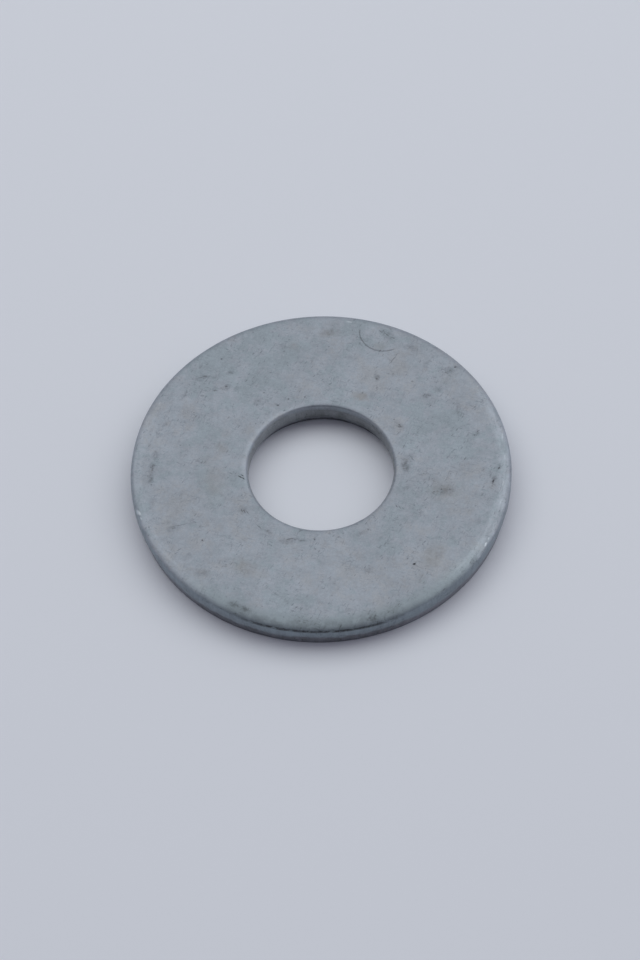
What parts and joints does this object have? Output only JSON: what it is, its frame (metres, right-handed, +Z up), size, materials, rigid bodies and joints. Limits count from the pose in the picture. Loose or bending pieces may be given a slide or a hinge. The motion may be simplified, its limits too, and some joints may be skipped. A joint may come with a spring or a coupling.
{
  "type": "flat washer",
  "caption": "Thick flat ring washer with a plain round bore, blanked edges and a dull zinc coat, spreads a bolt's load.",
  "frame": {"origin": "on the bore's axis, at the lower bearing face", "axes": "+Z up along the bore's axis, out of the face whose edges are rolled over; the part is round, so X and Y are any two directions across it"},
  "size_m": [0.048, 0.048, 0.0038],
  "materials": {
    "zinc_coat": "dull zinc"
  },
  "bodies": {
    "root": {"washer": "zinc_coat"}
  },
  "joints": []
}
